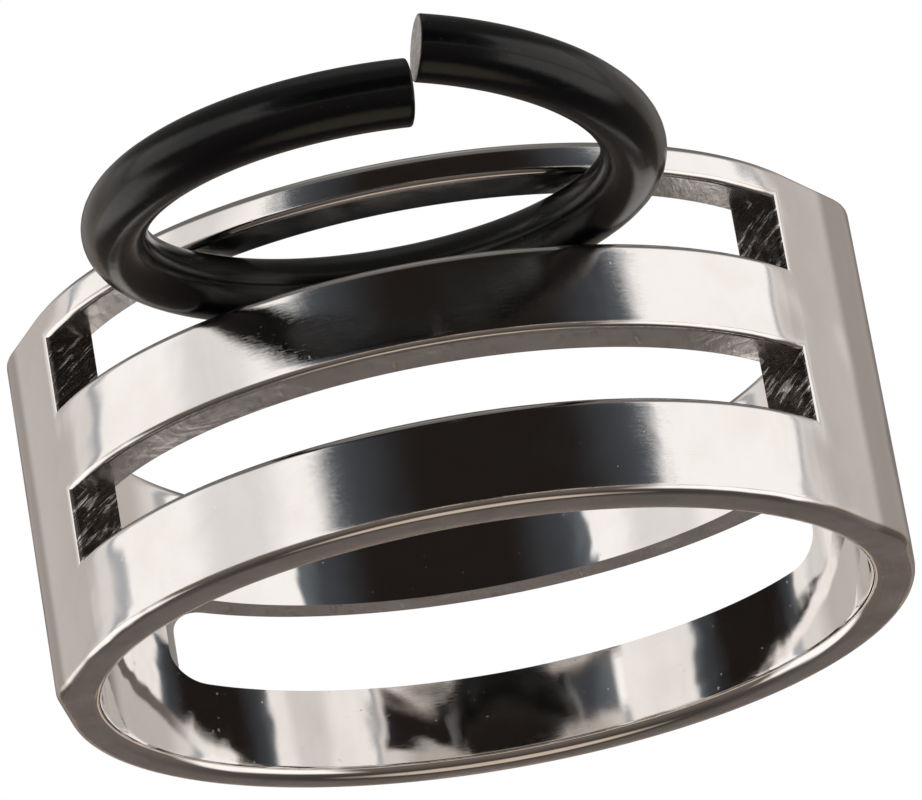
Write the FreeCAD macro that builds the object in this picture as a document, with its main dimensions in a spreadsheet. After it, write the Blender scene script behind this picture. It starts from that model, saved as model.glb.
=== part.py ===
import FreeCAD, Part
import math
import os
import Sketcher

# Jump-ring opener worn as a finger ring, holding one split jump ring.
# Frame: origin on the finger-hole axis in the plane of the lower rim, +Z up that axis,
# -Y toward the slotted front, +X to the wearer's right hand side of the front. Millimetres.

os.makedirs("parts", exist_ok=True)
doc = FreeCAD.newDocument("jump_ring_opener")
V = FreeCAD.Vector

# ---------------------------------------------------------------- driving dimensions
DIMENSIONS = [
    # finger ring
    ("bore_radius", 9.55),        # finger hole, US size 9 1/4
    ("ring_height", 8.92),
    ("front_radius", 10.35),      # round front
    ("front_shift", 0.55),        # centre of the front's curve, ahead of the finger hole
    ("facet_angle", 64.0),        # where the round front runs out into a flat facet
    ("side_half", 10.54),         # flats on the two sides, and radius of the back
    ("side_shift", 0.10),         # the left side is ground this much thinner than the right
    ("back_shift", 0.08),         # centre of the back's curve, ahead of the finger hole
    ("corner_round", 2.40),
    ("fall_start_y", -1.5),       # the top falls away from here to the lower back
    ("fall_angle", 8.7),
    ("fall_blend", 6.0),          # radius that softens the bend in the top
    # two slots sawn into the front
    ("lower_slot_z", 2.40),
    ("lower_slot_width", 1.75),
    ("upper_slot_z", 6.30),
    ("upper_slot_width", 1.80),
    ("slot_end_x", 9.10),
    ("slot_end_y", 5.75),
    ("slot_end_angle", 17.0),     # how far the end walls lean back from straight across
    ("cutter_reach", 15.0),
    # one wide slot in the back
    ("back_slot_z", 2.40),
    ("back_slot_width", 2.35),
    ("back_slot_half", 8.30),
    ("back_slot_corner", 0.70),
    # worn edges
    ("rim_round", 0.22),
    ("slot_round", 0.18),
    ("bore_round", 0.30),
    # jump ring
    ("loop_radius", 6.06),        # to the centre of the wire
    ("wire_radius", 0.775),
    ("loop_forward", 13.35),      # loop centre ahead of the finger-hole axis
    ("gap_heading", 15.6),        # where the cut is, turned from straight ahead
    ("gap_half_angle", 1.2),
    ("free_arc", 97.0),           # from the cut to the place where the wire is bent
    ("loop_tilt", 1.0),           # how far the loop sags within the slot's play
    ("open_twist", 9.1),          # how far the free arm is bent out of the loop's plane
]

sheet = doc.addObject("Spreadsheet::Sheet", "dims")
value = {}
for row, (alias, number) in enumerate(DIMENSIONS, start=1):
    sheet.set(f"A{row}", alias)
    sheet.set(f"B{row}", str(number))
    sheet.setAlias(f"B{row}", alias)
    value[alias] = number
doc.recompute()


# ---------------------------------------------------------------- helpers
def new_body(label):
    body = doc.addObject("PartDesign::Body", label)
    body.Label = label
    return body


def new_sketch(body, name, plane="XY_Plane"):
    sketch = body.newObject("Sketcher::SketchObject", name)
    origin_plane = next(f for f in body.Origin.OriginFeatures if f.Role == plane)
    sketch.AttachmentSupport = [(origin_plane, "")]
    sketch.MapMode = "FlatFace"
    return sketch


def constrain(sketch, kind, *where, formula=None, start=0.0):
    """Adds a constraint; a dimension takes its value from the sheet through formula."""
    if formula is None:
        return sketch.addConstraint(Sketcher.Constraint(kind, *where))
    index = sketch.addConstraint(Sketcher.Constraint(kind, *where, start))
    sketch.setExpression(f"Constraints[{index}]", formula)
    return index


def line(sketch, a, b):
    return sketch.addGeometry(Part.LineSegment(V(*a, 0), V(*b, 0)), False)


def feature(body, kind, name, sketch, **settings):
    item = body.newObject(f"PartDesign::{kind}", name)
    item.Profile = sketch
    for key, setting in settings.items():
        if isinstance(setting, str) and key in ("Length", "Angle"):
            item.setExpression(key, setting)
        else:
            setattr(item, key, setting)
    sketch.Visibility = False
    doc.recompute()
    return item


def round_edges(body, name, base, chosen, formula):
    names = [f"Edge{i}" for i, edge in enumerate(base.Shape.Edges, start=1) if chosen(edge)]
    item = body.newObject("PartDesign::Fillet", name)
    item.Base = (base, names)
    item.setExpression("Radius", formula)
    doc.recompute()
    return item


def level(edge, height):
    box = edge.BoundBox
    return box.ZLength < 1e-4 and abs(box.ZMin - height) < 1e-4


def radius_of(edge):
    """Distance of the edge's middle from the finger-hole axis."""
    middle = edge.valueAt((edge.FirstParameter + edge.LastParameter) / 2)
    return math.hypot(middle.x, middle.y)


def must_cut(before, after):
    if not after.Shape.Volume < before.Shape.Volume - 0.01:
        raise RuntimeError(f"{after.Name} removed nothing")


# ---------------------------------------------------------------- finger ring
def ring_outline(body):
    """Round front, a flat facet and a side flat on each side, half-round back, round bore."""
    sketch = new_sketch(body, "ring_outline")
    front, side, shift = value["front_radius"], value["side_half"], value["back_shift"]
    turn, ahead = math.radians(value["facet_angle"]), value["front_shift"]
    aside = value["side_shift"]
    tip = (front * math.sin(turn), -ahead - front * math.cos(turn))

    def corner(x):
        return (x, -ahead + (abs(x) * math.sin(turn) - front) / math.cos(turn))

    right, left = corner(aside + side), corner(aside - side)
    circle = Part.Circle(V(0, -ahead, 0), V(0, 0, 1), front)
    bow = sketch.addGeometry(
        Part.ArcOfCircle(circle, -math.pi / 2 - turn, -math.pi / 2 + turn), False
    )
    facet_r = line(sketch, tip, right)
    side_r = line(sketch, right, (right[0], -shift))
    back = sketch.addGeometry(
        Part.ArcOfCircle(Part.Circle(V(aside, -shift, 0), V(0, 0, 1), side), 0, math.pi), False
    )
    side_l = line(sketch, (left[0], -shift), left)
    facet_l = line(sketch, left, (-tip[0], tip[1]))
    bore = sketch.addGeometry(
        Part.Circle(V(0, 0, 0), V(0, 0, 1), value["bore_radius"]), False
    )
    constrain(sketch, "PointOnObject", bow, 3, -2)
    constrain(sketch, "Coincident", bore, 3, -1, 1)
    constrain(sketch, "Tangent", bow, 2, facet_r, 1)
    constrain(sketch, "Coincident", facet_r, 2, side_r, 1)
    constrain(sketch, "Tangent", side_r, 2, back, 1)
    constrain(sketch, "Tangent", back, 2, side_l, 1)
    constrain(sketch, "Coincident", side_l, 2, facet_l, 1)
    constrain(sketch, "Tangent", facet_l, 2, bow, 1)
    constrain(sketch, "Vertical", side_r)
    constrain(sketch, "Vertical", side_l)
    constrain(sketch, "DistanceX", -1, 1, back, 3, formula="dims.side_shift", start=aside)
    constrain(sketch, "Radius", bow, formula="dims.front_radius", start=front)
    constrain(sketch, "Radius", back, formula="dims.side_half", start=side)
    constrain(sketch, "Radius", bore, formula="dims.bore_radius", start=value["bore_radius"])
    constrain(sketch, "DistanceY", back, 3, -1, 1, formula="dims.back_shift", start=shift)
    constrain(sketch, "DistanceY", bow, 3, -1, 1, formula="dims.front_shift", start=ahead)
    reach = "dims.front_radius * sin(dims.facet_angle * 1 deg)"
    constrain(sketch, "DistanceX", -1, 1, facet_r, 1, formula=reach, start=tip[0])
    constrain(sketch, "DistanceX", facet_l, 2, -1, 1, formula=reach, start=tip[0])
    return sketch


def front_slot_plan(body, name, height):
    """Plan of one saw cut: everything ahead of two end walls that lean back a little."""
    sketch = new_sketch(body, name)
    sketch.setExpression("AttachmentOffset.Base.z", height)
    slope = math.tan(math.radians(value["slot_end_angle"]))
    end_x, end_y, reach = value["slot_end_x"], value["slot_end_y"], value["cutter_reach"]
    apex = (0, -end_y + slope * end_x)
    wing = (reach, -end_y - slope * (reach - end_x))
    points = [apex, wing, (reach, -reach), (-reach, -reach), (-wing[0], wing[1])]
    sides = [line(sketch, a, b) for a, b in zip(points, points[1:] + points[:1])]
    for this, following in zip(sides, sides[1:] + sides[:1]):
        constrain(sketch, "Coincident", this, 2, following, 1)
    constrain(sketch, "Vertical", sides[1])
    constrain(sketch, "PointOnObject", sides[0], 1, -2)
    constrain(sketch, "Symmetric", sides[1], 2, sides[2], 2, -2)
    constrain(sketch, "Symmetric", sides[0], 2, sides[3], 2, -2)
    lean = "tan(dims.slot_end_angle * 1 deg)"
    constrain(sketch, "DistanceX", sides[2], 2, sides[2], 1,
              formula="2 * dims.cutter_reach", start=2 * reach)
    constrain(sketch, "DistanceY", sides[1], 2, -1, 1, formula="dims.cutter_reach", start=reach)
    constrain(sketch, "DistanceY", sides[0], 1, -1, 1,
              formula=f"dims.slot_end_y - {lean} * dims.slot_end_x", start=-apex[1])
    constrain(sketch, "DistanceY", sides[0], 2, -1, 1,
              formula=f"dims.slot_end_y + {lean} * (dims.cutter_reach - dims.slot_end_x)",
              start=-wing[1])
    return sketch


def back_slot_face(body):
    """Rounded rectangle seen from the back."""
    sketch = new_sketch(body, "back_slot_face", "XZ_Plane")
    half, low = value["back_slot_half"], value["back_slot_z"]
    high, r = low + value["back_slot_width"], value["back_slot_corner"]
    corners = [(half - r, low + r), (half - r, high - r), (-half + r, high - r), (-half + r, low + r)]
    starts = [-math.pi / 2, 0, math.pi / 2, math.pi]
    arcs = [
        sketch.addGeometry(
            Part.ArcOfCircle(Part.Circle(V(*c, 0), V(0, 0, 1), r), a, a + math.pi / 2), False
        )
        for c, a in zip(corners, starts)
    ]
    ends = [
        ((half, low + r), (half, high - r)),
        ((half - r, high), (-half + r, high)),
        ((-half, high - r), (-half, low + r)),
        ((-half + r, low), (half - r, low)),
    ]
    sides = [line(sketch, a, b) for a, b in ends]
    for i in range(4):
        constrain(sketch, "Tangent", arcs[i], 2, sides[i], 1)
        constrain(sketch, "Tangent", sides[i], 2, arcs[(i + 1) % 4], 1)
        constrain(sketch, "Vertical" if i % 2 == 0 else "Horizontal", sides[i])
        if i:
            constrain(sketch, "Equal", arcs[0], arcs[i])
    constrain(sketch, "Radius", arcs[0], formula="dims.back_slot_corner", start=r)
    constrain(sketch, "DistanceX", -1, 1, sides[0], 1, formula="dims.back_slot_half", start=half)
    constrain(sketch, "DistanceX", sides[2], 1, -1, 1, formula="dims.back_slot_half", start=half)
    constrain(sketch, "DistanceY", -1, 1, sides[3], 1, formula="dims.back_slot_z", start=low)
    constrain(sketch, "DistanceY", sides[3], 2, sides[1], 1,
              formula="dims.back_slot_width", start=high - low)
    return sketch


def falling_top(body):
    """The wedge taken off the top, seen from the side."""
    sketch = new_sketch(body, "falling_top", "YZ_Plane")
    start, reach, high = value["fall_start_y"], value["cutter_reach"], value["ring_height"]
    low = high - (reach - start) * math.tan(math.radians(value["fall_angle"]))
    over = line(sketch, (start, high), (reach, high))
    end = line(sketch, (reach, high), (reach, low))
    slant = line(sketch, (reach, low), (start, high))
    constrain(sketch, "Coincident", over, 2, end, 1)
    constrain(sketch, "Coincident", end, 2, slant, 1)
    constrain(sketch, "Coincident", slant, 2, over, 1)
    constrain(sketch, "Horizontal", over)
    constrain(sketch, "Vertical", end)
    constrain(sketch, "DistanceX", -1, 1, over, 1, formula="dims.fall_start_y", start=start)
    constrain(sketch, "DistanceX", -1, 1, over, 2, formula="dims.cutter_reach", start=reach)
    constrain(sketch, "DistanceY", -1, 1, over, 1, formula="dims.ring_height", start=high)
    constrain(sketch, "DistanceY", end, 2, end, 1, start=high - low,
              formula="(dims.cutter_reach - dims.fall_start_y) * tan(dims.fall_angle * 1 deg)")
    return sketch


def on_top(edge):
    """True for an edge that runs along the level, the bend or the falling part of the top."""
    def height(y):
        drop = max(0.0, y - value["fall_start_y"]) * math.tan(math.radians(value["fall_angle"]))
        return value["ring_height"] - drop

    first, last = edge.FirstParameter, edge.LastParameter
    points = [edge.valueAt(first + (last - first) * k / 4) for k in range(5)]
    return all(abs(p.z - height(p.y)) < 0.05 for p in points)


def build_finger_ring():
    body = new_body("slotted_ring")
    blank = feature(body, "Pad", "ring_blank", ring_outline(body), Length="dims.ring_height")
    corners = round_edges(
        body, "side_corners", blank,
        lambda e: e.BoundBox.ZLength > 8 and radius_of(e) > value["side_half"] + 0.2,
        "dims.corner_round",
    )
    wedge = feature(body, "Pocket", "top_fall", falling_top(body), Midplane=True,
                    Length="2 * dims.cutter_reach")
    must_cut(corners, wedge)

    def at_bend(edge):
        box = edge.BoundBox
        straight = box.YLength < 1e-3 and abs(box.YMin - value["fall_start_y"]) < 1e-3
        return straight and level(edge, value["ring_height"])

    last = round_edges(body, "top_blend", wedge, at_bend, "dims.fall_blend")
    for which in ("lower", "upper"):
        plan = front_slot_plan(body, f"{which}_slot_plan", f"dims.{which}_slot_z")
        cut = feature(body, "Pocket", f"{which}_slot", plan,
                      Length=f"dims.{which}_slot_width", Reversed=True)
        must_cut(last, cut)
        last = cut
    back = feature(body, "Pocket", "back_slot", back_slot_face(body), Type="ThroughAll")
    must_cut(last, back)

    def outside(edge):
        return radius_of(edge) > (value["bore_radius"] + value["side_half"]) / 2

    def across(edge):
        ends = [math.hypot(v.X, v.Y) for v in edge.Vertexes]
        return max(ends) - min(ends) > 0.5

    def on_rim(edge):
        return (level(edge, 0.0) or on_top(edge)) and not across(edge)

    rounded = round_edges(
        body, "outer_rims", back, lambda e: outside(e) and on_rim(e), "dims.rim_round",
    )
    slot_levels = [
        value[f"{which}_slot_z"] + extra
        for which in ("lower", "upper")
        for extra in (0.0, value[f"{which}_slot_width"])
    ]

    def on_front_slot(edge):
        box = edge.BoundBox
        if not outside(edge) or box.YMax > -3:
            return False
        upright = box.XLength < 1e-3 and box.YLength < 1e-3 and box.ZLength < 2
        return upright or any(level(edge, z) for z in slot_levels)

    rounded = round_edges(body, "slot_lips", rounded, on_front_slot, "dims.slot_round")
    return body, round_edges(
        body, "bore_rims", rounded, lambda e: not outside(e) and on_rim(e), "dims.bore_round",
    )


# ---------------------------------------------------------------- jump ring
FACE = "(dims.front_radius + dims.front_shift)"  # the slots' mouth, where the loop tilts


def wire_arc(label, heading, sweep, roll):
    """A length of the loop's wire. Its own origin is the wire centre at one cut face, the
    wire starts along +X there and curls toward +Y; heading and roll place it in the frame."""
    body = new_body(label)
    sketch = new_sketch(body, f"{label}_section", "YZ_Plane")
    circle = sketch.addGeometry(
        Part.Circle(V(0, 0, 0), V(0, 0, 1), value["wire_radius"]), False
    )
    axis = sketch.addGeometry(
        Part.LineSegment(V(value["loop_radius"], -1, 0), V(value["loop_radius"], 1, 0)), True
    )
    constrain(sketch, "Coincident", circle, 3, -1, 1)
    constrain(sketch, "Radius", circle, formula="dims.wire_radius", start=value["wire_radius"])
    constrain(sketch, "Symmetric", axis, 1, axis, 2, -1)
    constrain(sketch, "DistanceX", -1, 1, axis, 1,
              formula="dims.loop_radius", start=value["loop_radius"])
    constrain(sketch, "DistanceY", axis, 1, axis, 2, formula="2", start=2)
    arc = feature(body, "Revolution", f"{label}_wire", sketch,
                  ReferenceAxis=(sketch, ["Axis0"]), Angle=sweep)
    body.setExpression(
        "Placement",
        f"create(<<placement>>; create(<<vector>>; 0; -{FACE};"
        " dims.upper_slot_z + dims.upper_slot_width / 2);"
        " create(<<rotation>>; 0 deg; 0 deg; dims.loop_tilt * 1 deg))"
        " * create(<<placement>>; create(<<vector>>;"
        f" dims.loop_radius * sin({heading});"
        f" {FACE} - dims.loop_forward - dims.loop_radius * cos({heading}); 0);"
        f" create(<<rotation>>; {heading}; 0 deg; {roll}))",
    )
    doc.recompute()
    return body, arc


ring = build_finger_ring()
BEND = "(dims.gap_heading + dims.free_arc) * 1 deg"
held = wire_arc(
    "jump_ring_held_arc", BEND,
    "(360 - dims.free_arc - dims.gap_half_angle) * 1 deg", "0 deg",
)
free = wire_arc(
    "jump_ring_free_arm", BEND,
    "(dims.free_arc - dims.gap_half_angle) * 1 deg", "dims.open_twist * 1 deg",
)
free[1].Reversed = True
doc.recompute()

# ---------------------------------------------------------------- checks and export
for item in doc.Objects:
    if {"Invalid", "Error"} & set(item.State):
        raise RuntimeError(f"{item.Name} did not compute: {item.State}")
for body, tip in (ring, held, free):
    body.Tip = tip
doc.recompute()
for body, _ in (ring, held, free):
    shape = body.Shape
    if shape.isNull() or not shape.isValid() or len(shape.Solids) != 1:
        raise RuntimeError(f"{body.Label} is not one valid solid")
    shape.exportStep(f"parts/{body.Label}.step")
    print(body.Label, round(shape.Volume, 2), shape.optimalBoundingBox())
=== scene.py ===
import bmesh, bpy, math
from mathutils import Matrix, Vector


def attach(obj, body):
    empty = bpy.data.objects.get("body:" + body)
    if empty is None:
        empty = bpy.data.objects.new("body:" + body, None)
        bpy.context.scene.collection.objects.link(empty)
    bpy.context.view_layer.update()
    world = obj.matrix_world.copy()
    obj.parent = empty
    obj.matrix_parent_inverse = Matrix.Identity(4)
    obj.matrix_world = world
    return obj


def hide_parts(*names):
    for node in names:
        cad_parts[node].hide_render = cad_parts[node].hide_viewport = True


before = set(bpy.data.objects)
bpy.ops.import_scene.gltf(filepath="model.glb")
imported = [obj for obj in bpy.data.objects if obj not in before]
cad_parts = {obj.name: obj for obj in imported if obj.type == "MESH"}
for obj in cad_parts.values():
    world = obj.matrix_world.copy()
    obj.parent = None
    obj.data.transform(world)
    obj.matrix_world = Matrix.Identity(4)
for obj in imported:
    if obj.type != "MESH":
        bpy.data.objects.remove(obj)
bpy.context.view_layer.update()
scene = bpy.context.scene
MM = 0.001

# Camera: direction and roll in degrees, distance and aim in millimetres
CAMERA_ELEVATION = -19.089
CAMERA_AZIMUTH = -3.4605
CAMERA_ROLL = 9.828
CAMERA_DISTANCE = 170.69
CAMERA_AIM = (0, 0, 4.786)
LENS = 269.2
LENS_SHIFT = (0.0032, 0.0755)

# Ring, in millimetres and degrees, as in the CAD part
HEIGHT = 8.92
BORE = 9.55
FRONT_RADIUS = 10.35
FRONT_CENTRE_Y = -0.55
FACET_TURN = 64
RIGHT_SIDE_X = 10.64
LEFT_SIDE_X = -10.44
CORNER_RADIUS = 2.4
BACK_RADIUS = 10.54
BACK_CENTRE = (0.10, -0.08)
FALL_START_Y = -1.5
FALL_ANGLE = math.radians(8.7)
FALL_BLEND = 6.0
LOWER_SLOT = (2.40, 4.15)
UPPER_SLOT = (6.30, 8.10)
SLOT_END_X = 9.10
SLOT_END_Y = -5.75
SLOT_END_LEAN = math.radians(17)
SLOT_REACH = 15
BACK_SLOT = (2.40, 4.75)
BACK_SLOT_HALF = 8.30
BACK_SLOT_CORNER = 0.70
BACK_SLOT_FROM_Y = 3
RIM_ROUND = 0.22
LIP_ROUND = 0.18
BORE_ROUND = 0.30

# Jump ring, in millimetres; headings in degrees, 0 straight ahead and 90 to the right
LOOP_RADIUS = 6.06
WIRE_RADIUS = 0.775
LOOP_CENTRE_Y = -13.35
LOOP_LEVEL = 7.20
SAG_PIVOT_Y = -10.90
SAG = math.radians(1.0)
BEND_HEADING = 112.6
HELD_ARC_END = 374.4
FREE_ARM_END = 16.8
OPEN_TWIST = math.radians(9.1)
CUT_EDGE = 0.05

# How finely the shapes are divided. Rows are heights at the front, in millimetres; the room
# left beside a slot's end is in radians, and a step along the wire is in degrees.
STATIONS = 720
STATION_ROWS = (0, 0.42, 2.10, 4.45, 6.00, 8.40, HEIGHT)
SLOT_END_ROOM = 0.024
WIRE_SIDES = 40
WIRE_STEP = 1.2
BEVEL_TURN = math.radians(40)
SHARP_TURN = math.radians(24)

# Studio. Turns run from straight ahead, positive to the right, and rises from the level of
# the bench, both in degrees. Two numbers are where a change begins and where it is complete.
PANEL_TURN = -59.0
PANEL_HALF = (17.0, 7.0)
CLOTH_END = (97, 107)
CLOTH_LONGER_RIGHT = 7
POLE = (97, 100, 102, 106)
BOARDS_DIM = (112, 124)
BACK_START = (148, 162)
GAP_TURN = 13.0
GAP_HALF = 41.5
GAP_WIDER = 5.0
GAP_WIDENS = (0, 16)
GAP_EDGE = (-0.8, 1.6)
GAP_SIDE = (0.0, 9.0)
GAP_DEEP = (6.0, 27.0)
ROOF = (30, 44)
ROOF_TOP = (66, 82)
BENCH = (0, -3)
BENCH_PALER = (-70, -10)
BENCH_EDGE = (-7.5, -5.5, -3.5, -1.5)
BENCH_MIDDLE = (-62, -76)
BOARDS = ((-114, 30), (84, 36))
BOARD_SOFT = 14
BOARD_RISE = (-44, -30)

# Where the ring's finish and its painted side shade change, in degrees from the front at
# both sides and, for the outside, in millimetres from the finger hole's axis
OUTSIDE = (9.75, 9.95)
SATIN_START = (56, 68)
# the sides' painted shade: where it begins, and where it ends towards the back
SIDE_SHADE_START = (69.0, 71.5)
SIDE_SHADE_END = (125, 85)
SWELL_START = (42, 54)
SWELL_END = (92, 72)


# ---------------------------------------------------------------- camera
def make_camera():
    """Long lens, below the ring and a little to its right; the roll turns the picture
    anticlockwise."""
    elevation = math.radians(CAMERA_ELEVATION)
    azimuth = math.radians(CAMERA_AZIMUTH)
    roll = math.radians(CAMERA_ROLL)
    data = bpy.data.cameras.new("camera")
    cam = bpy.data.objects.new("camera", data)
    scene.collection.objects.link(cam)
    away = Vector((-math.sin(azimuth) * math.cos(elevation),
                   -math.cos(azimuth) * math.cos(elevation), math.sin(elevation)))
    right = (-away).cross(Vector((0, 0, 1))).normalized()
    up = right.cross(-away)
    across = math.cos(roll) * right - math.sin(roll) * up
    upward = math.sin(roll) * right + math.cos(roll) * up
    place = Matrix((across, upward, away)).transposed().to_4x4()
    place.translation = Vector(CAMERA_AIM) * MM + away * (CAMERA_DISTANCE * MM)
    cam.matrix_world = place
    data.sensor_width = 36
    data.lens = LENS
    data.shift_x, data.shift_y = LENS_SHIFT
    data.clip_start = 0.001
    data.dof.use_dof = False
    scene.camera = cam


# ---------------------------------------------------------------- node helpers
class Tree:
    """Short calls for building a shader node tree."""

    def __init__(self, owner):
        owner.use_nodes = True
        self.tree = owner.node_tree
        self.tree.nodes.clear()

    def add(self, kind, **props):
        node = self.tree.nodes.new("ShaderNode" + kind)
        for key, val in props.items():
            setattr(node, key, val)
        return node

    def put(self, socket, val):
        """Links a socket to another, or sets its value; None leaves it alone."""
        if val is None:
            return
        if isinstance(val, bpy.types.NodeSocket):
            self.tree.links.new(val, socket)
        elif isinstance(val, (tuple, list)) and len(val) == 3 and len(socket.default_value) == 4:
            socket.default_value = (*val, 1.0)
        else:
            socket.default_value = val

    def math(self, op, a, b=None, c=None):
        node = self.add("Math", operation=op)
        for i, val in enumerate((a, b, c)):
            self.put(node.inputs[i], val)
        return node.outputs[0]

    def times(self, a, b):
        return self.math("MULTIPLY", a, b)

    def plus(self, a, b):
        return self.math("ADD", a, b)

    def minus(self, a, b):
        return self.math("SUBTRACT", a, b)

    def size(self, a):
        return self.math("ABSOLUTE", a)

    def linear(self, a, slope, start):
        return self.math("MULTIPLY_ADD", a, slope, start)

    def vec(self, op, a, b=None, scale=None):
        node = self.add("VectorMath", operation=op)
        self.put(node.inputs[0], a)
        self.put(node.inputs[1], b)
        if scale is not None:
            self.put(node.inputs["Scale"], scale)
        return node.outputs["Value" if op == "LENGTH" else "Vector"]

    def xyz(self, v):
        node = self.add("SeparateXYZ")
        self.put(node.inputs[0], v)
        return node.outputs

    def join(self, x, y, z):
        node = self.add("CombineXYZ")
        for i, val in enumerate((x, y, z)):
            self.put(node.inputs[i], val)
        return node.outputs[0]

    def mix(self, fac, a, b):
        node = self.add("Mix", data_type="RGBA", blend_type="MIX")
        self.put(node.inputs[0], fac)
        self.put(node.inputs[6], a)
        self.put(node.inputs[7], b)
        return node.outputs[2]

    def step(self, val, low, high, to_low=0.0, to_high=1.0):
        """Smooth step of val from low to high; with low above high it falls instead."""
        node = self.add("MapRange", interpolation_type="SMOOTHSTEP")
        for i, x in enumerate((val, low, high, to_low, to_high)):
            self.put(node.inputs[i], x)
        return node.outputs[0]

    def band(self, val, start, full, fade, end):
        """Rises from start to full, and falls from fade to end."""
        return self.times(self.step(val, start, full), self.step(val, end, fade))

    def noise(self, vec, scale, detail, rough, distort=0.0):
        node = self.add("TexNoise")
        self.put(node.inputs["Vector"], vec)
        for key, val in (("Scale", scale), ("Detail", detail), ("Roughness", rough),
                         ("Distortion", distort)):
            node.inputs[key].default_value = val
        return node.outputs["Fac"]

    def bump(self, height, strength, distance, normal=None):
        node = self.add("Bump")
        node.inputs["Strength"].default_value = strength
        node.inputs["Distance"].default_value = distance
        self.put(node.inputs["Height"], height)
        self.put(node.inputs["Normal"], normal)
        return node.outputs[0]


# ---------------------------------------------------------------- studio
def tent_walls(t, turn):
    """White cloth round the sides, with a dimmer panel at the left, a grey pole at each
    edge, grey boards behind it and brown at the back."""
    white = (1.03, 0.99, 0.965)
    dimmer = (0.8, 0.775, 0.755)
    pale_board = (0.76, 0.71, 0.68)
    dim_board = (0.52, 0.475, 0.445)
    pole_grey = (0.42, 0.425, 0.44)
    brown = (0.25, 0.225, 0.205)
    far = t.size(turn)
    cloth = t.mix(t.step(t.size(t.minus(turn, PANEL_TURN)), *PANEL_HALF), white, dimmer)
    boards = t.mix(t.step(far, *BOARDS_DIM), pale_board, dim_board)
    edge = t.minus(far, t.step(turn, -5, 5, 0, CLOTH_LONGER_RIGHT))
    shade = t.mix(t.step(edge, *CLOTH_END), cloth, boards)
    shade = t.mix(t.band(edge, *POLE), shade, pole_grey)
    return t.mix(t.step(far, *BACK_START), shade, brown)


def tent_gap(t, turn, rise, shade):
    """The dark opening at the front, narrower low down and blue-grey near its sides."""
    blue_grey = (0.15, 0.165, 0.18)
    dark_grey = (0.055, 0.06, 0.068)
    near_black = (0.014, 0.011, 0.0095)
    half = t.linear(t.step(rise, *GAP_WIDENS), GAP_WIDER, GAP_HALF)
    inside = t.minus(half, t.size(t.minus(turn, GAP_TURN)))
    dark = t.mix(t.step(inside, *GAP_SIDE), blue_grey, dark_grey)
    dark = t.mix(t.step(inside, *GAP_DEEP), dark, near_black)
    return t.mix(t.step(inside, *GAP_EDGE), shade, dark)


def tent_roof(t, rise, shade):
    """Dark grey, and paler overhead."""
    shade = t.mix(t.step(rise, *ROOF), shade, (0.16, 0.15, 0.14))
    return t.mix(t.step(rise, *ROOF_TOP), shade, (0.32, 0.31, 0.3))


def bench(t, turn, rise, shade):
    """Dark brown, with a white board at each side, a warm middle and a thin bright edge."""
    dark_brown = (0.05, 0.042, 0.037)
    brown = (0.145, 0.121, 0.109)
    white = (1.15, 1.1, 1.06)
    warm = (0.6, 0.49, 0.39)
    bright_edge = (0.62, 0.5, 0.38)
    top = t.mix(t.step(rise, *BENCH_PALER), dark_brown, brown)
    for middle, half in BOARDS:
        away = t.size(t.minus(turn, middle))
        board = t.times(t.step(away, half, half - BOARD_SOFT), t.step(rise, *BOARD_RISE))
        top = t.mix(board, top, white)
    top = t.mix(t.step(rise, *BENCH_MIDDLE), top, warm)
    shade = t.mix(t.step(rise, *BENCH), shade, top)
    return t.mix(t.band(rise, *BENCH_EDGE), shade, bright_edge)


def make_world():
    """A soft white tent on a dark bench, which the metal mirrors; all else sees plain white."""
    world = bpy.data.worlds.new("studio")
    scene.world = world
    t = Tree(world)
    x, y, z = t.xyz(t.add("TexCoord").outputs["Generated"])
    turn = t.times(t.math("ARCTAN2", x, t.times(y, -1)), 180 / math.pi)
    rise = t.times(t.math("ARCSINE", z), 180 / math.pi)
    shade = tent_gap(t, turn, rise, tent_walls(t, turn))
    shade = bench(t, turn, rise, tent_roof(t, rise, shade))
    studio = t.add("Background")
    white = t.add("Background")
    t.put(studio.inputs[0], shade)
    t.put(white.inputs[0], (1, 1, 1))
    pick = t.add("MixShader")
    t.put(pick.inputs[0], t.add("LightPath").outputs["Is Glossy Ray"])
    t.put(pick.inputs[1], white.outputs[0])
    t.put(pick.inputs[2], studio.outputs[0])
    t.put(t.add("OutputWorld").inputs[0], pick.outputs[0])


# ---------------------------------------------------------------- mesh helpers
def link_mesh(name, verts, faces):
    mesh = bpy.data.meshes.new(name)
    mesh.from_pydata(verts, [], faces)
    obj = bpy.data.objects.new(name, mesh)
    scene.collection.objects.link(obj)
    return obj


def with_bm(mesh, work):
    """Runs work on the mesh's editable form and writes the result back."""
    bm = bmesh.new()
    bm.from_mesh(mesh)
    work(bm)
    bm.to_mesh(mesh)
    bm.free()


def face_outwards(obj):
    with_bm(obj.data, lambda bm: bmesh.ops.recalc_face_normals(bm, faces=bm.faces))


def shade_fine(obj):
    """Smooth shading that keeps flats flat and takes the turn in the rounded edges."""
    def mark_sharp(bm):
        for e in bm.edges:
            e.smooth = e.calc_face_angle(0) < SHARP_TURN

    for poly in obj.data.polygons:
        poly.use_smooth = True
    with_bm(obj.data, mark_sharp)
    mod = obj.modifiers.new("flats_stay_flat", "WEIGHTED_NORMAL")
    mod.keep_sharp = True
    mod.weight = 80


def arc(cx, cy, radius, start, end, steps):
    """Points from one turn to another, turns in degrees counted from +X towards +Y."""
    turns = [math.radians(start + (end - start) * k / steps) for k in range(steps + 1)]
    return [(cx + radius * math.cos(a), cy + radius * math.sin(a)) for a in turns]


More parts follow.
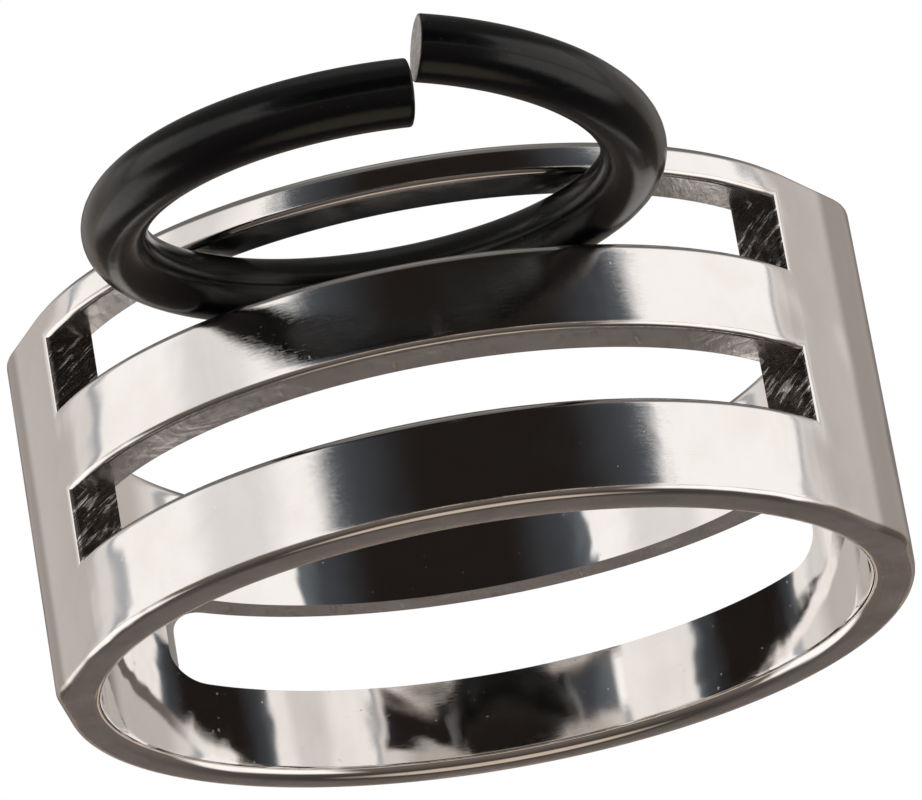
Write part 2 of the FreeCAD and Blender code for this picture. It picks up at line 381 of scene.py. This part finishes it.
# ---------------------------------------------------------------- finger ring
def side_corner(x):
    """Rounded corner between a facet and the side flat at x."""
    facet = math.radians(FACET_TURN)
    side = math.copysign(1, x)
    y = FRONT_CENTRE_Y + (abs(x) * math.sin(facet) - FRONT_RADIUS) / math.cos(facet)
    back = CORNER_RADIUS * math.tan((math.pi / 2 - facet) / 2)
    end = 0 if side > 0 else -180
    return arc(x - side * CORNER_RADIUS, y + back, CORNER_RADIUS, side * FACET_TURN - 90, end, 24)


def ring_outline():
    """Outer outline seen from above: round front, facets, side flats and round back."""
    front = arc(0, FRONT_CENTRE_Y, FRONT_RADIUS, -FACET_TURN - 90, FACET_TURN - 90, 128)
    back = arc(*BACK_CENTRE, BACK_RADIUS, 0, 180, 180)
    return front + side_corner(RIGHT_SIDE_X) + back + side_corner(LEFT_SIDE_X)[::-1]


def reach(outline, turn):
    """Distance from the finger hole's axis to the outline, at a turn from +X."""
    dx, dy = math.cos(turn), math.sin(turn)
    for (ax, ay), (bx, by) in zip(outline, outline[1:] + outline[:1]):
        ex, ey = bx - ax, by - ay
        cross = dx * ey - dy * ex
        if abs(cross) < 1e-12:
            continue
        dist, along = (ax * ey - ay * ex) / cross, (ax * dy - ay * dx) / cross
        if dist > 0 and -1e-9 <= along <= 1 + 1e-9:
            return dist
    raise ValueError("outline is open")


def top_at(y):
    """Height of the top: level over the front, bending down towards the back."""
    past = y - (FALL_START_Y - FALL_BLEND * math.tan(FALL_ANGLE / 2))
    if past <= 0:
        return HEIGHT
    if past <= FALL_BLEND * math.sin(FALL_ANGLE):
        return HEIGHT - FALL_BLEND + math.sqrt(FALL_BLEND ** 2 - past ** 2)
    return HEIGHT - (y - FALL_START_Y) * math.tan(FALL_ANGLE)


def slot_end_y(x):
    """How far back the front slots reach at a distance x from the middle."""
    return SLOT_END_Y + math.tan(SLOT_END_LEAN) * (SLOT_END_X - x)


def station_turns():
    """Turns round the ring, with a wider step left where each slot's end meets the outside."""
    def on_front(heading):
        return (FRONT_RADIUS * math.sin(heading),
                FRONT_CENTRE_Y - FRONT_RADIUS * math.cos(heading))

    def is_cut(heading):
        x, y = on_front(heading)
        return y < slot_end_y(x)

    headings = [math.radians(a / 100) for a in range(5000, 7000)]
    x, y = on_front(max(a for a in headings if is_cut(a)))
    right = math.atan2(y, x) % (2 * math.pi)
    ends = (right, 3 * math.pi - right)
    even = [2 * math.pi * (k + 0.25) / STATIONS for k in range(STATIONS)]
    kept = [a for a in even if min(abs(a - e) for e in ends) > SLOT_END_ROOM * 1.1]
    return sorted(kept + [e + d for e in ends for d in (-SLOT_END_ROOM, SLOT_END_ROOM)])


def ring_blank():
    """The ring before its slots are cut. Its rows leave room beside the slots' lips."""
    outline = ring_outline()
    turns = station_turns()
    reaches = [reach(outline, a) for a in turns]
    outer = [(r * math.cos(a), r * math.sin(a)) for r, a in zip(reaches, turns)]
    inner = [(BORE * math.cos(a), BORE * math.sin(a)) for a in turns]
    loops = [(outer, row) for row in STATION_ROWS[::-1]] + [(inner, row) for row in STATION_ROWS]
    verts = [(x, y, row / HEIGHT * top_at(y)) for plan, row in loops for x, y in plan]
    n = len(turns)
    faces = []
    for loop in range(len(loops)):
        here, there = loop * n, (loop + 1) % len(loops) * n
        for i in range(n):
            j = (i + 1) % n
            faces.append((here + i, there + i, there + j, here + j))
    obj = link_mesh("slotted_ring_fine", verts, faces)
    face_outwards(obj)
    return obj


def prism(name, plan, low, high, lift):
    """A straight prism; lift turns a plan point and a level into a corner."""
    n = len(plan)
    verts = [lift(p, low) for p in plan] + [lift(p, high) for p in plan]
    sides = [(i, (i + 1) % n, n + (i + 1) % n, n + i) for i in range(n)]
    obj = link_mesh(name, verts, [tuple(range(n))[::-1], tuple(range(n, 2 * n))] + sides)
    face_outwards(obj)
    return obj


def slot_cutters():
    far, wing = SLOT_REACH, slot_end_y(SLOT_REACH)
    plan = [(0, slot_end_y(0)), (-far, wing), (-far, -far), (far, -far), (far, wing)]
    for name, (low, high) in (("lower_cut", LOWER_SLOT), ("upper_cut", UPPER_SLOT)):
        yield prism(name, plan, low, high, lambda p, z: (p[0], p[1], z))
    r = BACK_SLOT_CORNER
    right, left = BACK_SLOT_HALF - r, r - BACK_SLOT_HALF
    low, high = BACK_SLOT[0] + r, BACK_SLOT[1] - r
    face = (arc(right, low, r, -90, 0, 8) + arc(right, high, r, 0, 90, 8)
            + arc(left, high, r, 90, 180, 8) + arc(left, low, r, 180, 270, 8))
    yield prism("back_cut", face, BACK_SLOT_FROM_Y, SLOT_REACH, lambda p, y: (p[0], y, p[1]))


def ease_edges(mesh):
    """Rounds the rims, the front slots' outer lips and the finger hole's mouths."""
    middle = (BORE + BACK_RADIUS) / 2

    def on_rim(c):
        return abs(c.z) < 0.01 or abs(c.z - top_at(c.y)) < 0.01

    def on_lip(c):
        return c.y < -3 and any(abs(c.z - level) < 0.01 for level in LOWER_SLOT + UPPER_SLOT)

    def pick(bm, outside, test):
        bent = [e for e in bm.edges
                if len(e.link_faces) == 2 and e.calc_face_angle(0) >= BEVEL_TURN]
        return [e for e in bent
                if all((math.hypot(v.co.x, v.co.y) > middle) == outside and test(v.co)
                       for v in e.verts)]

    def run(bm):
        for outside, test, size, steps in ((True, on_rim, RIM_ROUND, 5),
                                           (True, on_lip, LIP_ROUND, 5),
                                           (False, on_rim, BORE_ROUND, 6)):
            bmesh.ops.bevel(bm, geom=pick(bm, outside, test), offset=size, segments=steps,
                            profile=0.5, affect="EDGES", clamp_overlap=False,
                            offset_type="OFFSET")

    with_bm(mesh, run)


def fine_ring():
    """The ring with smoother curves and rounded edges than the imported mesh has."""
    ring = ring_blank()
    cutters = list(slot_cutters())
    for cutter in cutters:
        mod = ring.modifiers.new(cutter.name, "BOOLEAN")
        mod.operation = "DIFFERENCE"
        mod.solver = "EXACT"
        mod.object = cutter
    graph = bpy.context.evaluated_depsgraph_get()
    mesh = bpy.data.meshes.new_from_object(ring.evaluated_get(graph))
    ring.modifiers.clear()
    ring.data = mesh
    for cutter in cutters:
        bpy.data.objects.remove(cutter)
    with_bm(mesh, lambda bm: bmesh.ops.remove_doubles(bm, verts=bm.verts, dist=1e-4))
    ease_edges(mesh)
    mesh.transform(Matrix.Scale(MM, 4))
    shade_fine(ring)
    return ring


# ---------------------------------------------------------------- jump ring
def wire_centre(heading):
    a = math.radians(heading)
    return Vector((LOOP_RADIUS * math.sin(a), LOOP_CENTRE_Y - LOOP_RADIUS * math.cos(a),
                   LOOP_LEVEL))


def wire_along(heading):
    a = math.radians(heading)
    return Vector((math.cos(a), math.sin(a), 0))


def wire_section(heading, radius, shift=0):
    """A circle of points round the wire, shifted along it."""
    a = math.radians(heading)
    out, up = Vector((math.sin(a), -math.cos(a), 0)), Vector((0, 0, 1))
    centre = wire_centre(heading) + wire_along(heading) * shift
    turns = [2 * math.pi * k / WIRE_SIDES for k in range(WIRE_SIDES)]
    return [centre + radius * (math.cos(b) * out + math.sin(b) * up) for b in turns]


def about(point, turn, axis):
    """A turn about an axis through a point."""
    there = Matrix.Translation(point)
    return there @ Matrix.Rotation(turn, 4, axis) @ there.inverted()


def wire_arc(name, end, twist):
    """The wire from the bend to its cut end, at heading end; twist turns it about the
    wire's own direction at the bend. Its last face is the cut."""
    start = BEND_HEADING
    way = math.copysign(CUT_EDGE, end - start)
    steps = round(abs(end - start) / WIRE_STEP)
    sections = [wire_section(start + (end - start) * k / steps, WIRE_RADIUS)
                for k in range(steps)]
    sections += [wire_section(end, WIRE_RADIUS, -way),
                 wire_section(end, WIRE_RADIUS - CUT_EDGE * 0.3, -way * 0.3),
                 wire_section(end, WIRE_RADIUS - CUT_EDGE)]
    place = (about(Vector((0, SAG_PIVOT_Y, LOOP_LEVEL)), SAG, "X")
             @ about(wire_centre(start), twist, wire_along(start)))
    verts = [place @ p * MM for section in sections for p in section]
    n, last = WIRE_SIDES, len(sections) - 1
    faces = [(r * n + i, r * n + (i + 1) % n, (r + 1) * n + (i + 1) % n, (r + 1) * n + i)
             for r in range(last) for i in range(n)]
    faces += [tuple(range(n)), tuple(range(last * n, (last + 1) * n))]
    obj = link_mesh(name, verts, faces)
    face_outwards(obj)
    shade_fine(obj)
    return obj


# ---------------------------------------------------------------- materials
def new_material(name):
    """A material, its tree, and the place on the object in millimetres."""
    mat = bpy.data.materials.new(name)
    t = Tree(mat)
    place = t.add("TexCoord").outputs["Object"]
    return mat, t, t.vec("SCALE", place, scale=1 / MM)


def finish_material(t, mat, **inputs):
    shader = t.add("BsdfPrincipled")
    for name, val in inputs.items():
        t.put(shader.inputs[name.replace("_", " ")], val)
    t.put(t.add("OutputMaterial").inputs[0], shader.outputs[0])
    return mat


def polished_metal():
    """Bright plating: a mirror finish at the front and in the hole, satin on the facets and
    sides, faint buffing lines that run round the ring, a few pits and a wavy surface."""
    mat, t, mm = new_material("polished_metal")
    x, y, z = t.xyz(mm)
    turn = t.math("ARCTAN2", x, t.times(y, -1))
    round_about = t.vec("LENGTH", t.join(x, y, 0.0))

    def turned(start, full):
        """A change that begins and is complete at two turns, the same at both sides."""
        return t.step(t.size(turn), math.radians(start), math.radians(full))

    bright = (0.9, 0.885, 0.87)
    cloudy = (0.84, 0.82, 0.8)
    line_grey = (0.72, 0.7, 0.68)
    # the last grey is painted shade for the sides
    painted_shade_grey = (0.53, 0.495, 0.47)
    outside = t.step(round_about, *OUTSIDE)
    buffed = t.linear(outside, 0.8, 0.2)
    lines = t.noise(t.join(t.times(turn, 10.0), t.times(z, 22.0), t.times(round_about, 3.0)),
                    1.0, 6.0, 0.65)
    fine = t.noise(t.join(t.times(turn, 6.0), t.times(z, 90.0), x), 1.0, 4.0, 0.7)
    cloud = t.noise(mm, 0.55, 3.0, 0.55, 0.4)

    rough = t.linear(t.times(turned(*SATIN_START), outside), 0.17, 0.03)
    rough = t.plus(rough, t.times(t.times(t.step(lines, 0.52, 0.78), buffed), 0.05))
    rough = t.plus(rough, t.times(t.step(cloud, 0.5, 0.75), 0.03))

    tint = t.mix(t.step(cloud, 0.35, 0.75), bright, cloudy)
    tint = t.mix(t.times(t.step(lines, 0.62, 0.8), 0.5), tint, line_grey)
    # painted shade: from the middle of each facet back the sides are painted darker, as if turned
    # further from the light
    side_shade = t.times(t.times(turned(*SIDE_SHADE_START), outside), turned(*SIDE_SHADE_END))
    tint = t.mix(side_shade, tint, painted_shade_grey)

    near_facet = t.times(turned(*SWELL_START), turned(*SWELL_END))
    swell = t.times(t.noise(mm, 0.42, 1.0, 0.4), t.times(near_facet, outside))
    pits = t.step(t.noise(mm, 9.0, 1.0, 0.4), 0.77, 0.84)
    normal = t.bump(t.noise(mm, 0.32, 2.0, 0.45, 0.6), 1.0, 0.035 * MM)
    normal = t.bump(swell, 1.0, 0.2 * MM, normal)
    normal = t.bump(t.times(fine, buffed), 0.5, 0.0018 * MM, normal)
    normal = t.bump(t.times(pits, -1.0), 0.3, 0.006 * MM, normal)
    return finish_material(t, mat, Base_Color=tint, Metallic=1.0, Roughness=rough, Normal=normal)


def satin_metal():
    """The flat rims: faint turning marks round the hole, cloudy, and not quite flat."""
    mat, t, mm = new_material("satin_metal")
    x, y, z = t.xyz(mm)
    radius = t.times(t.vec("LENGTH", t.join(x, y, 0.0)), 26.0)
    turn = t.times(t.math("ARCTAN2", x, y), 4.0)
    marks = t.noise(t.join(radius, turn, z), 1.0, 5.0, 0.65)
    cloud = t.noise(mm, 0.7, 4.0, 0.6, 0.5)
    bright = (0.86, 0.84, 0.82)
    cloudy = (0.7, 0.67, 0.645)
    tint = t.mix(t.step(cloud, 0.3, 0.75), bright, cloudy)
    rough = t.linear(t.step(marks, 0.35, 0.75), 0.12, 0.1)
    normal = t.bump(marks, 0.5, 0.006 * MM)
    normal = t.bump(t.noise(mm, 0.22, 2.0, 0.5, 0.5), 1.0, 0.12 * MM, normal)
    normal = t.bump(cloud, 0.6, 0.02 * MM, normal)
    return finish_material(t, mat, Base_Color=tint, Metallic=1.0, Roughness=rough, Normal=normal)


def sawn_metal():
    """Walls of the slots, left as the saw cut them. The ends are dark and torn, with bright
    flashes; the long level walls are a plain grey with faint hatching across them."""
    mat, t, mm = new_material("sawn_metal")
    x, y, z = t.xyz(mm)
    facing = t.xyz(t.add("NewGeometry").outputs["Normal"])
    level = t.step(t.size(facing[2]), 0.7, 0.9)
    across = t.times(t.minus(z, t.times(x, 0.9)), 6.5)
    hatch = t.noise(t.join(across, t.times(t.plus(x, z), 0.9), t.times(y, 1.4)),
                    1.0, 4.0, 0.6, 0.2)
    patch = t.noise(mm, 1.1, 2.0, 0.5, 0.6)
    torn = (0.11, 0.098, 0.09)
    flash = (0.95, 0.93, 0.91)
    grey = (0.84, 0.815, 0.8)
    hatch_grey = (0.7, 0.675, 0.655)
    ends = t.mix(t.step(t.linear(patch, 0.35, hatch), 0.73, 0.83), torn, flash)
    walls = t.mix(t.step(hatch, 0.5, 0.66), grey, hatch_grey)
    walls = t.mix(t.step(t.linear(patch, 0.3, hatch), 0.78, 0.84), walls, (1, 1, 1))
    depth = t.linear(level, -0.78, 1.0)
    normal = t.bump(t.times(hatch, depth), 1.0, 0.06 * MM)
    normal = t.bump(t.times(patch, depth), 1.0, 0.12 * MM, normal)
    return finish_material(t, mat, Base_Color=t.mix(level, ends, walls), Metallic=1.0,
                           Roughness=t.linear(patch, 0.25, 0.08), Normal=normal)


def cut_metal():
    """Bare wire where the jump ring was cut."""
    mat, t, mm = new_material("cut_wire")
    marks = t.noise(t.vec("MULTIPLY", mm, (3.0, 3.0, 16.0)), 1.0, 5.0, 0.7, 0.2)
    dark = (0.42, 0.41, 0.4)
    bright = (0.74, 0.73, 0.72)
    tint = t.mix(t.step(marks, 0.35, 0.7), dark, bright)
    return finish_material(t, mat, Base_Color=tint, Metallic=1.0, Roughness=0.33,
                           Normal=t.bump(marks, 1.0, 0.03 * MM))


def black_coating():
    """Glossy black plating with dust specks, rub marks and a faint orange-peel surface."""
    mat, t, mm = new_material("black_coated_wire")
    peel = t.noise(mm, 3.4, 3.0, 0.5)
    rub = t.noise(t.vec("MULTIPLY", mm, (0.9, 0.9, 4.5)), 1.0, 6.0, 0.68, 0.5)
    wear = t.step(rub, 0.62, 0.8)
    dust = t.step(t.noise(mm, 9.0, 2.0, 0.5), 0.7, 0.78)
    black = (0.0008, 0.0008, 0.001)
    rubbed = (0.009, 0.009, 0.009)
    dusty = (0.07, 0.068, 0.066)
    tint = t.mix(wear, black, rubbed)
    tint = t.mix(t.times(dust, 0.3), tint, dusty)
    normal = t.bump(peel, 0.5, 0.01 * MM)
    normal = t.bump(rub, 0.5, 0.008 * MM, normal)
    return finish_material(t, mat, Base_Color=tint, Metallic=0.0,
                           Roughness=t.linear(wear, 0.18, 0.2), Normal=normal,
                           Coat_Weight=0.15, Coat_Roughness=0.1, Specular_IOR_Level=0.33)


def paint_ring(ring):
    """Polished all over, satin on the flat rims, sawn on the walls of the slots."""
    polished, satin, sawn = range(3)
    for mat in (polished_metal(), satin_metal(), sawn_metal()):
        ring.data.materials.append(mat)
    for poly in ring.data.polygons:
        c, n = poly.center / MM, poly.normal
        level = abs(n.z) > 0.985
        rim = level and (c.z < 0.02 or c.z > top_at(c.y) - 0.05)
        slot_end = n.y < -0.9 and c.y < 0 and abs(c.x) > 7.5
        poly.material_index = satin if rim else sawn if level or slot_end else polished


# ---------------------------------------------------------------- floor
def make_floor():
    """Pale floor under the ring. It shows from above only, so the low camera sees past it."""
    half, level = 0.4, -0.02 * MM
    corners = [(x * half, y * half, level) for x, y in ((-1, -1), (1, -1), (1, 1), (-1, 1))]
    floor = link_mesh("floor", corners, [(0, 1, 2, 3)])
    mat = bpy.data.materials.new("floor")
    t = Tree(mat)
    pale = t.add("BsdfDiffuse")
    t.put(pale.inputs[0], (0.82, 0.81, 0.8))
    side = t.add("MixShader")
    t.put(side.inputs[0], t.add("NewGeometry").outputs["Backfacing"])
    t.put(side.inputs[1], pale.outputs[0])
    t.put(side.inputs[2], t.add("BsdfTransparent").outputs[0])
    t.put(t.add("OutputMaterial").inputs[0], side.outputs[0])
    floor.data.materials.append(mat)
    floor.visible_glossy = False
    floor.visible_diffuse = False
    floor.visible_shadow = False


# ---------------------------------------------------------------- build
make_camera()
make_world()
make_floor()

ring = fine_ring()
paint_ring(ring)
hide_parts("slotted_ring")
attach(ring, "finger_ring")

coating = black_coating()
bare = cut_metal()
for node, body, end, twist in (
        ("jump_ring_held_arc", "jump_ring", HELD_ARC_END, 0.0),
        ("jump_ring_free_arm", "jump_ring_arm", FREE_ARM_END, OPEN_TWIST)):
    piece = wire_arc(node + "_fine", end, twist)
    piece.data.materials.append(coating)
    piece.data.materials.append(bare)
    piece.data.polygons[-1].material_index = 1
    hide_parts(node)
    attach(piece, body)

scene.view_settings.view_transform = "Standard"
